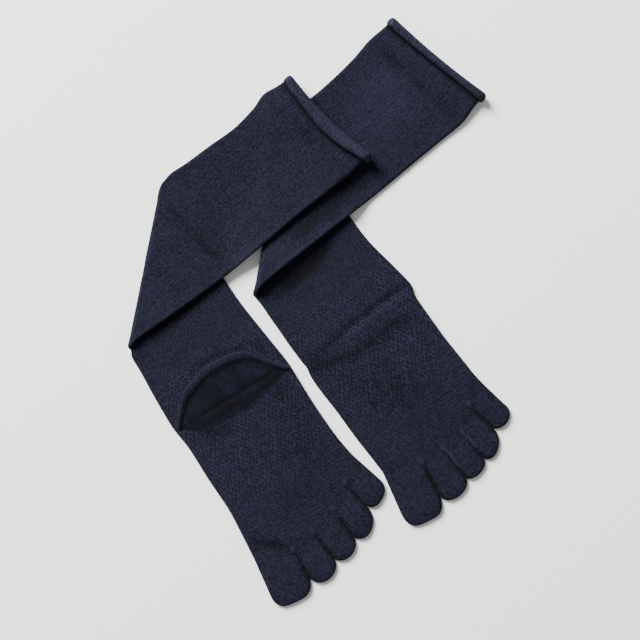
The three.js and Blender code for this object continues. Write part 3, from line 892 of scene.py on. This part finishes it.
# Heel pocket of the right sock, pressed flat on the sole: its rim, and the line where it merges
# with the sole again, as (along, across) on the flat pattern
HEEL_TOP = TUBE + 0.3
HEEL_RIM = (
    (126.3, -55.4),
    (106.9, -36.4),
    (101.4, -24.6),
    (97.6, -8),
    (98.9, 11.9),
    (103.8, 26.3),
    (115.6, 35.6),
    (126.1, 43.3),
    (134.5, 49.6),
)
HEEL_END = (
    (127.6, -55),
    (139, -42),
    (145, -30),
    (148, -10),
    (148.6, 8),
    (144, 23.7),
    (140.6, 36),
    (137.5, 45),
    (135.2, 49.4),
)
HEEL_CREASE = 130.6
HEEL_COLUMNS = 24  # between two points of the rim
HEEL_ROWS = 61
HEEL_MOTTLES = ((0.3, 9), (0.16, 3))
RIM_HEIGHT = 4.0
RIM_WIDTH = 5.2
RIM_OVERHANG = 2.1
RIM_STITCH = 0.8
RIM_BEAT = 3  # columns from one stitch of the rim to the next
NOSE_TURNS = np.radians(np.linspace(-80, 80, 9))[None]
TUCKED_IN = 5.5
# Painted shade on the points tucked under the rim, fading up its nose
UNDER_RIM_SHADES = (0.9, 0.9, 0.7, 0.35, 0.1)
LEFT_FLANK = (14, 30)


def pocket_points():
    """Rows of points round the pocket, from under its rim over the top to where it merges.

    Also gives their place in the stitch map, how far each takes the foot's colour (painted light on
    the rim band, and the sole's own knit where the pocket merges), and its shade.
    """
    start = smooth_line(HEEL_RIM, HEEL_COLUMNS)[1:-1, None]
    end = smooth_line(HEEL_END, HEEL_COLUMNS)[1:-1, None]
    depth = np.linalg.norm(end - start, axis=2)
    way = (end - start) / depth[..., None]
    full = np.sqrt(np.clip(depth / depth.max(), 0, 1))
    thick = RIM_HEIGHT * (0.15 + 0.85 * full)

    overhang = np.minimum(RIM_OVERHANG, depth / 5)
    nose_into = overhang * (1 - np.cos(NOSE_TURNS))
    nose_up = CLEAR + thick * 0.5 * (1 + np.sin(NOSE_TURNS))
    run = np.linspace(0, 1, HEEL_ROWS + 1)[None, 1:] ** 1.2
    into = nose_into[:, -1:] + (depth - nose_into[:, -1:]) * run
    rim = fall(into - RIM_WIDTH * 0.7, RIM_WIDTH * 1.2)
    fallen = (1 - run) ** 0.8
    up = thick * (0.55 * fallen + (1 - 0.55 * fallen) * rim)
    along = start[..., 0] + way[..., 0] * into
    across = start[..., 1] + way[..., 1] * into

    # The rim is stitched down: one row of stitches all round, and a second down its left flank
    beat = 0.5 + 0.5 * np.cos(2 * np.pi * np.arange(len(start))[:, None] / RIM_BEAT)
    left_flank = smooth_step(-across, *LEFT_FLANK)
    up += 0.16 * beat * hump(into - 1.7, RIM_STITCH) * full
    up += left_flank * (0.35 + 0.25 * beat) * hump(into - RIM_WIDTH - 2.6, RIM_STITCH) * full

    # A pressed crease with a low ridge beyond it, and painted shade on both, in the hollow behind the
    # rim and where the pocket dips to merge
    crease = HEEL_CREASE + 0.03 * across + 0.8 * soft_noise(across, 0, 13, 31)
    pressed = np.clip(1 - (np.abs(across + 1) / 44) ** 4, 0, 1)
    up += pressed * (0.25 * hump(along - crease - 4.5, 2.6) - 0.7 * hump(along - crease, 2.1))
    shade = 0.3 * pressed * hump(along - crease + 0.5, 2.4)
    shade += (0.32 * hump(run - 0.8, 0.13) + 0.22 * hump(into - RIM_WIDTH * 1.7, 2.6)) * full
    up += 0.2 * soft_noise(across, along, 11, 32) * (1 - run**4) * full
    up += CLEAR * (1 - run**6) - 0.4 * run**6
    # Painted shade over the pocket's inside, which slopes away from the light, with random mottling
    # over it
    interior_shade_and_mottle = 0.24 + lumps(HEEL_MOTTLES, across, along, 33)

    # Two more points, tucked in under the rim, come before those of its nose
    tuck_into = np.minimum(TUCKED_IN, depth / 3)
    into = np.concatenate([tuck_into, tuck_into, nose_into, into], axis=1)
    low, high = np.full_like(depth, -0.5), np.full_like(depth, CLEAR * 0.9)
    up = np.concatenate([low, high, nose_up, up], axis=1)
    flat = start + way * into[..., None]
    points = np.concatenate([flat, (HEEL_TOP + up)[..., None]], axis=2)
    stitches = flat[..., ::-1]
    # The foot's lighter colour on the rim band is painted light where the rim faces the lamp; where
    # the pocket merges, it is the sole's own knit
    edge = fall(into - RIM_WIDTH * 0.8, 4.0)
    merged = np.maximum(smooth_step(into / depth, 0.74, 1.0), fall(depth - 5, 12))
    like_foot_and_lit_rim = np.maximum(edge, merged)
    before_top = like_foot_and_lit_rim.shape[1] - shade.shape[1]
    shade += interior_shade_and_mottle * (1 - like_foot_and_lit_rim[:, before_top:])
    under = np.zeros((len(start), before_top))
    under[:, : len(UNDER_RIM_SHADES)] = UNDER_RIM_SHADES
    return points, stitches, like_foot_and_lit_rim, np.concatenate([under, shade], axis=1)


def colours():
    """The scene's own settings."""
    return bpy.context.scene.toe_sock_colours


def sizes():
    """The scene's own sizes."""
    return bpy.context.scene.toe_sock_sizes


MATH = "ShaderNodeMath"
NOISE = "ShaderNodeTexNoise"


def add_node(tree, kind, *values, named=None, **settings):
    """Adds a node with its settings, and fills its inputs in order or by name.

    A value is a number, a colour, a socket, or a node, which gives its first output in use.
    """
    node = tree.nodes.new(kind)
    for key, value in settings.items():
        setattr(node, key, value)
    filled = list(zip([socket for socket in node.inputs if socket.enabled], values))
    filled += [(node.inputs[key], value) for key, value in (named or {}).items()]
    for socket, value in filled:
        if isinstance(value, bpy.types.Node):
            value = next(output for output in value.outputs if output.enabled)
        if isinstance(value, bpy.types.NodeSocket):
            tree.links.new(value, socket)
        else:
            socket.default_value = value
    return node


def jersey_stitches(tree, across, along, reverse):
    """Plain jersey: columns of V-shaped stitches, no two quite alike.

    Gives their height, each stitch's own height and chance number, and the wave of the rib.
    """
    # Real stitches here are about 0.8 mm, so they are drawn about twice as coarse, to show at all
    columns = add_node(tree, MATH, across, WALE_PITCH, operation="DIVIDE")
    column = add_node(tree, MATH, columns, operation="FRACT")
    column = add_node(tree, MATH, column, 2.0, -1.0, operation="MULTIPLY_ADD")
    from_middle = add_node(tree, MATH, column, operation="ABSOLUTE")
    rows = add_node(tree, MATH, along, COURSE_PITCH, operation="DIVIDE")
    slant = -0.5 if reverse else 0.5
    rows = add_node(tree, MATH, from_middle, slant, rows, operation="MULTIPLY_ADD")
    row = add_node(tree, MATH, rows, operation="FRACT")
    rest = add_node(tree, MATH, 1.0, row, operation="SUBTRACT")
    yarn = add_node(tree, MATH, row, rest, operation="MULTIPLY")
    groove = add_node(tree, MATH, from_middle, 3.0, operation="POWER")
    groove = add_node(tree, MATH, groove, -2.4, 4.0, operation="MULTIPLY_ADD")
    stitch = add_node(tree, MATH, yarn, groove, operation="MULTIPLY")
    legs = add_node(tree, MATH, columns, 2.0, operation="MULTIPLY")
    whole_leg = add_node(tree, MATH, legs, operation="FLOOR")
    whole_row = add_node(tree, MATH, rows, operation="FLOOR")
    cell = add_node(tree, "ShaderNodeCombineXYZ", whole_leg, whole_row)
    uneven = add_node(tree, "ShaderNodeTexWhiteNoise", cell)
    wave = add_node(tree, MATH, across, 2 * math.pi / RIB_PITCH, operation="MULTIPLY")
    wave = add_node(tree, MATH, wave, operation="COSINE")
    rib = add_node(tree, MATH, wave, RIB_DEPTH, RIB_DEPTH, operation="MULTIPLY_ADD")
    height = add_node(tree, MATH, stitch, STITCH_DEPTH, rib, operation="MULTIPLY_ADD")
    return height, stitch, uneven, wave


def tuck_mesh(tree, along, plain, stitch, uneven, wave):
    """The plain knit's height, with tuck mesh where the piece's attributes say so."""
    # A hole between every second loop, each row set off by half
    line = add_node(tree, MATH, along, math.pi / HOLE_ROWS, operation="MULTIPLY")
    line = add_node(tree, MATH, line, operation="COSINE")
    hole = add_node(tree, MATH, wave, line, operation="MULTIPLY")
    limits = {"Value": hole, "From Min": 0.1, "From Max": 1.0}
    hole = add_node(tree, "ShaderNodeMapRange", named=limits, interpolation_type="SMOOTHSTEP")
    open_hole = add_node(tree, MATH, uneven, *HOLE_DEPTH, operation="MULTIPLY_ADD")
    hole = add_node(tree, MATH, hole, open_hole, operation="MULTIPLY")
    net = add_node(tree, MATH, stitch, NET_DEPTH, NET_TOP, operation="MULTIPLY_ADD")
    net = add_node(tree, MATH, net, hole, operation="SUBTRACT")
    net = add_node(tree, MATH, uneven, NET_UNEVEN, net, operation="MULTIPLY_ADD")
    # Towards the toes the rows close up into ladders
    rung = add_node(tree, MATH, line, line, operation="MULTIPLY")
    rung = add_node(tree, MATH, rung, *LADDER_DEPTH, operation="MULTIPLY_ADD")
    ladder = add_node(tree, MATH, stitch, NET_DEPTH, rung, operation="MULTIPLY_ADD")
    ladders = add_node(tree, "ShaderNodeAttribute", attribute_name="ladders").outputs["Fac"]
    net = add_node(tree, "ShaderNodeMix", ladders, net, ladder, data_type="FLOAT")
    zone = add_node(tree, "ShaderNodeAttribute", attribute_name="openwork").outputs["Fac"]
    return add_node(tree, "ShaderNodeMix", zone, plain, net, data_type="FLOAT")


def knit_material(name, deep, light, openwork=False, reverse=False, dense=None):
    """Cotton knit whose stitches are worked out from the stitch map, in millimetres.

    deep and light are the yarn between the stitches, darkened as painted shade, and on top of them,
    and dense gives the same two for a closer knit, whose darker colour is partly painted shade. With
    openwork, the piece's attributes say where the tuck mesh is.
    """
    material = bpy.data.materials.new(name)
    material.use_nodes = True
    tree = material.node_tree
    tree.nodes.clear()

    # The wales of a soft knit wander by a millimetre or two
    stitches = add_node(tree, "ShaderNodeUVMap", uv_map="stitches")
    wander = add_node(tree, NOISE, named={"Vector": stitches, "Scale": 0.09, "Detail": 2.0})
    aside = (wander.outputs["Color"], (4.0, 4.0, 0.0), stitches)
    placed = add_node(tree, "ShaderNodeVectorMath", *aside, operation="MULTIPLY_ADD")
    place = add_node(tree, "ShaderNodeSeparateXYZ", placed)
    across, along = place.outputs["X"], place.outputs["Y"]
    height, stitch, uneven, wave = jersey_stitches(tree, across, along, reverse)
    if openwork:
        height = tuck_mesh(tree, along, height, stitch, uneven, wave)

    # Loose fibre, drawn as coarse as a millimetre to show; and places where more dye took
    lint = {"Vector": stitches, "Scale": 1.0, "Detail": 3.0, "Roughness": 0.75}
    fibre = add_node(tree, NOISE, named=lint)
    cloud = add_node(tree, NOISE, named={"Vector": stitches, "Scale": 0.045, "Detail": 3.0})
    # The piece's shade attribute: painted shade, and painted light where it is below 0
    shade = add_node(tree, "ShaderNodeAttribute", attribute_name="shade").outputs["Fac"]
    # Stitch height mixes in the deep yarn colour: painted shade between the stitches and in the holes
    tone = MEAN_TONE
    for source, weight in (
        (height, HEIGHT_TONE),
        (uneven, UNEVEN_TONE),
        (fibre, FIBRE_TONE),
        (cloud, CLOUD_TONE),
    ):
        tone = add_node(tree, MATH, source, weight, tone, operation="MULTIPLY_ADD")
    tone = add_node(tree, MATH, tone, shade, operation="SUBTRACT", use_clamp=True)
    colour = add_node(tree, "ShaderNodeMix", tone, deep, light, data_type="RGBA")
    # The heel's closer colours inside the pocket are partly painted shade; the foot's colours come
    # back on its lit rim as painted light
    if dense:
        close = add_node(tree, "ShaderNodeMix", tone, *dense, data_type="RGBA")
        like_foot_and_lit_rim = add_node(tree, "ShaderNodeAttribute", attribute_name="foot_knit_and_lit_rim").outputs["Fac"]
        colour = add_node(tree, "ShaderNodeMix", like_foot_and_lit_rim, close, colour, data_type="RGBA")

    raised = add_node(tree, MATH, height, KNIT_RELIEF, operation="MULTIPLY")
    raised = add_node(tree, MATH, fibre, FIBRE_RELIEF, raised, operation="MULTIPLY_ADD")
    bump = {"Strength": 1.0, "Distance": 0.4 * MM, "Height": raised}
    bumped = add_node(tree, "ShaderNodeBump", named=bump)
    surface = {
        "Base Color": colour,
        "Normal": bumped,
        "Roughness": 0.95,
        "Specular IOR Level": 0.12,
        "Sheen Weight": 0.05,
        "Sheen Roughness": 0.5,
        "Sheen Tint": light,
    }
    cloth = add_node(tree, "ShaderNodeBsdfPrincipled", named=surface)
    add_node(tree, "ShaderNodeOutputMaterial", cloth)
    return material


class ToeSockSizes(bpy.types.PropertyGroup):
    """Sizes that a user would change."""

    wall: FloatProperty(
        name="Wall",
        description="Thickness of one knitted wall",
        default=WALL * MM,
        min=0.0005,
        max=0.003,
        unit="LENGTH",
    )


def colour_property(name, description, value):
    """A colour that a user may change, from its sRGB hex value."""
    return FloatVectorProperty(
        name=name,
        description=description,
        default=linear(value),
        size=4,
        min=0,
        max=1,
        subtype="COLOR",
    )


class ToeSockColours(bpy.types.PropertyGroup):
    """Colours of the yarn and of the floor."""

    yarn: colour_property("Yarn", "Navy yarn where it catches the light", "#1f2032")
    # The deep colours are painted shade down between the stitches and in the holes
    yarn_in_shade: colour_property("Yarn, deep", "Navy yarn down between the stitches", "#06070d")
    # Set paler than the leg's yarn: partly the back of the knit, partly painted light on the raised
    # roll
    roll: colour_property(
        "Rolled edge", "Navy yarn on the back of the knit, where the cuff rolls it outwards", "#27283a"
    )
    # The heel's darker colours are partly its closer knit and partly painted shade inside the heel
    # pocket
    heel: colour_property("Heel yarn", "Denser navy yarn of the heel", "#151729")
    heel_yarn_in_shade: colour_property("Heel yarn, deep", "Heel yarn down between the stitches", "#05060c")
    floor: colour_property("Floor", "Pale floor that the socks lie on", "#f4f4f3")


def shared_materials():
    """The knit of leg and foot, and that of the rolled edge, made once."""
    # Spun cotton, dyed navy in the yarn: short dull fibres with no gloss, only a breath of lint on the
    # curves. The eye takes in small lit loops over gaps that are almost black, and the dark of the
    # gaps is painted shade. The rolled edge shows the back of the knit, whose loops lie level, so it
    # looks smoother; its paler colour is partly painted light on the raised roll.
    tints = colours()
    made = []
    for name, light, settings in (
        ("navy cotton tuck knit", tints.yarn, {"openwork": True}),
        ("navy cotton reverse jersey", tints.roll, {"reverse": True}),
    ):
        found = bpy.data.materials.get(name)
        made.append(found or knit_material(name, tints.yarn_in_shade, light, **settings))
    return made


def build_sock(name, node, sock, wrinkles, rest_height, seed):
    """Makes one sock in place of its CAD node."""
    knit = knit_sock(sock, wrinkles, rest_height, seed)
    across, along = np.concatenate(knit.stitches).T
    piece = cloth_object(name, knit, knit_zones(sock, across, along), shared_materials())
    in_roll = [int(kind == "roll") for kind in knit.kinds]
    piece.data.polygons.foreach_set("material_index", in_roll)
    wall = piece.modifiers.new("wall", "SOLIDIFY")
    wall.thickness = sizes().wall
    wall.offset = -1
    bpy.ops.object.modifier_apply(modifier=wall.name)
    for vertex in piece.data.vertices:
        vertex.co.z = max(vertex.co.z, 0.0)
    bpy.ops.object.shade_smooth()
    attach(piece, BODY)
    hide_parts(node)
    return piece


class OBJECT_OT_left_toe_sock(bpy.types.Operator):
    """Lays out the left toe sock, instep up"""

    bl_idname = "object.left_toe_sock"
    bl_label = "Left Toe Sock"

    def execute(self, context):
        piece = build_sock("left_sock_knit", "left_sock", LEFT_SOCK, LEFT_WRINKLES, rest_of_left, 11)
        return {"FINISHED"}


class OBJECT_OT_right_toe_sock(bpy.types.Operator):
    """Lays out the right toe sock, sole up, across the left one"""

    bl_idname = "object.right_toe_sock"
    bl_label = "Right Toe Sock"

    def execute(self, context):
        piece = build_sock(
            "right_sock_knit", "right_sock", RIGHT_SOCK, RIGHT_WRINKLES, rest_of_right, 23
        )
        return {"FINISHED"}


class OBJECT_OT_heel_pocket(bpy.types.Operator):
    """Folds the right sock's heel pocket flat on its sole"""

    bl_idname = "object.heel_pocket"
    bl_label = "Heel Pocket"

    def execute(self, context):
        points, stitches, like_foot_and_lit_rim, shade = pocket_points()
        knit = Knit()
        numbers = knit.add(lay(RIGHT_SOCK, rest_of_right, points), stitches, shade)
        knit.tube(numbers, "heel")
        knit.face(numbers[0], "heel")
        knit.face(numbers[-1][::-1], "heel")
        # The same cotton knitted closer, with a hard-wearing second yarn, so it looks flatter than the
        # foot; its darker colour is partly that closer knit and partly painted shade on the inside of
        # the pocket
        tints = colours()
        heel = (tints.heel_yarn_in_shade, tints.heel)
        jersey = knit_material("navy cotton heel jersey", tints.yarn_in_shade, tints.yarn, dense=heel)
        piece = cloth_object("right_heel_pocket", knit, {"foot_knit_and_lit_rim": like_foot_and_lit_rim}, [jersey])
        bpy.ops.object.mode_set(mode="EDIT")
        bpy.ops.mesh.select_all(action="SELECT")
        bpy.ops.mesh.normals_make_consistent(inside=False)
        bpy.ops.object.mode_set(mode="OBJECT")
        bpy.ops.object.shade_smooth()
        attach(piece, BODY)
        return {"FINISHED"}


# Stage, in metres. The frame is what the camera takes in on the floor.
FRAME_WIDTH = 0.5248
VIEW_CENTRE = (0.0008, -0.0062)
LENS = 85.0
SENSOR = 36.0
FLOOR_SIZE = 8.0
FLOOR_HEIGHT = -0.0002
KEY_AZIMUTH = math.radians(130)
KEY_ELEVATION = math.radians(36)
KEY_DISTANCE = 3.6
KEY_SIZE = 2.1
KEY_POWER = 560.0
FILL = 0.42


def add_floor():
    """The floor, which isn't part of the object."""
    bpy.ops.object.select_all(action="DESELECT")
    bpy.ops.mesh.primitive_plane_add(size=FLOOR_SIZE, location=(0, 0, FLOOR_HEIGHT))
    floor = bpy.context.object
    floor.name = "floor"
    # Matt painted board: no gloss and no grain, so nothing shows on it but soft shadows
    pale = bpy.data.materials.new("matt painted board")
    pale.use_nodes = True
    shader = pale.node_tree.nodes["Principled BSDF"]
    shader.inputs["Base Color"].default_value = colours().floor
    shader.inputs["Roughness"].default_value = 0.9
    shader.inputs["Specular IOR Level"].default_value = 0.1
    floor.data.materials.append(pale)


def add_light():
    """A wide soft lamp from the upper left, and an even glow all round."""
    away = Vector(
        (
            math.cos(KEY_AZIMUTH) * math.cos(KEY_ELEVATION),
            math.sin(KEY_AZIMUTH) * math.cos(KEY_ELEVATION),
            math.sin(KEY_ELEVATION),
        )
    )
    key = bpy.data.lights.new("key", "AREA")
    key.shape = "DISK"
    key.size = KEY_SIZE
    key.energy = KEY_POWER
    lamp = bpy.data.objects.new("key", key)
    lamp.location = away * KEY_DISTANCE
    lamp.rotation_euler = away.to_track_quat("Z", "Y").to_euler()
    bpy.context.scene.collection.objects.link(lamp)

    world = bpy.data.worlds.new("soft studio")
    world.use_nodes = True
    background = world.node_tree.nodes["Background"]
    background.inputs["Color"].default_value = (1.0, 1.0, 1.0, 1.0)
    background.inputs["Strength"].default_value = FILL
    bpy.context.scene.world = world


def add_camera():
    """A camera that looks straight down."""
    lens = bpy.data.cameras.new("camera")
    lens.lens = LENS
    lens.sensor_width = SENSOR
    camera = bpy.data.objects.new("camera", lens)
    camera.location = (*VIEW_CENTRE, FRAME_WIDTH * LENS / SENSOR)
    bpy.context.scene.collection.objects.link(camera)
    bpy.context.scene.camera = camera


class OBJECT_OT_toe_sock_stage(bpy.types.Operator):
    """Sets a pale floor, soft studio light and a camera looking straight down"""

    bl_idname = "object.toe_sock_stage"
    bl_label = "Stage"

    def execute(self, context):
        add_floor()
        add_light()
        add_camera()
        return {"FINISHED"}


class VIEW3D_PT_toe_socks(bpy.types.Panel):
    """Lists the socks' settings and the pieces to make"""

    bl_idname = "VIEW3D_PT_toe_socks"
    bl_label = "Toe Socks"
    bl_space_type = "VIEW_3D"
    bl_region_type = "UI"
    bl_category = "Toe Socks"

    def draw(self, context):
        for group in (sizes(), colours()):
            for name in group.bl_rna.properties.keys():
                if name not in ("rna_type", "name"):
                    self.layout.prop(group, name)
        for operator in MAKERS:
            self.layout.operator(operator.bl_idname)


MAKERS = (
    OBJECT_OT_toe_sock_stage,
    OBJECT_OT_left_toe_sock,
    OBJECT_OT_heel_pocket,
    OBJECT_OT_right_toe_sock,
)
CLASSES = (ToeSockSizes, ToeSockColours, *MAKERS, VIEW3D_PT_toe_socks)


def register():
    for cls in CLASSES:
        bpy.utils.register_class(cls)
    bpy.types.Scene.toe_sock_sizes = PointerProperty(type=ToeSockSizes)
    bpy.types.Scene.toe_sock_colours = PointerProperty(type=ToeSockColours)


def unregister():
    del bpy.types.Scene.toe_sock_colours
    del bpy.types.Scene.toe_sock_sizes
    for cls in reversed(CLASSES):
        bpy.utils.unregister_class(cls)


def main():
    """Makes every piece."""
    register()
    bpy.ops.object.toe_sock_stage()
    bpy.ops.object.left_toe_sock()
    bpy.ops.object.heel_pocket()
    bpy.ops.object.right_toe_sock()


if __name__ == "__main__":
    main()
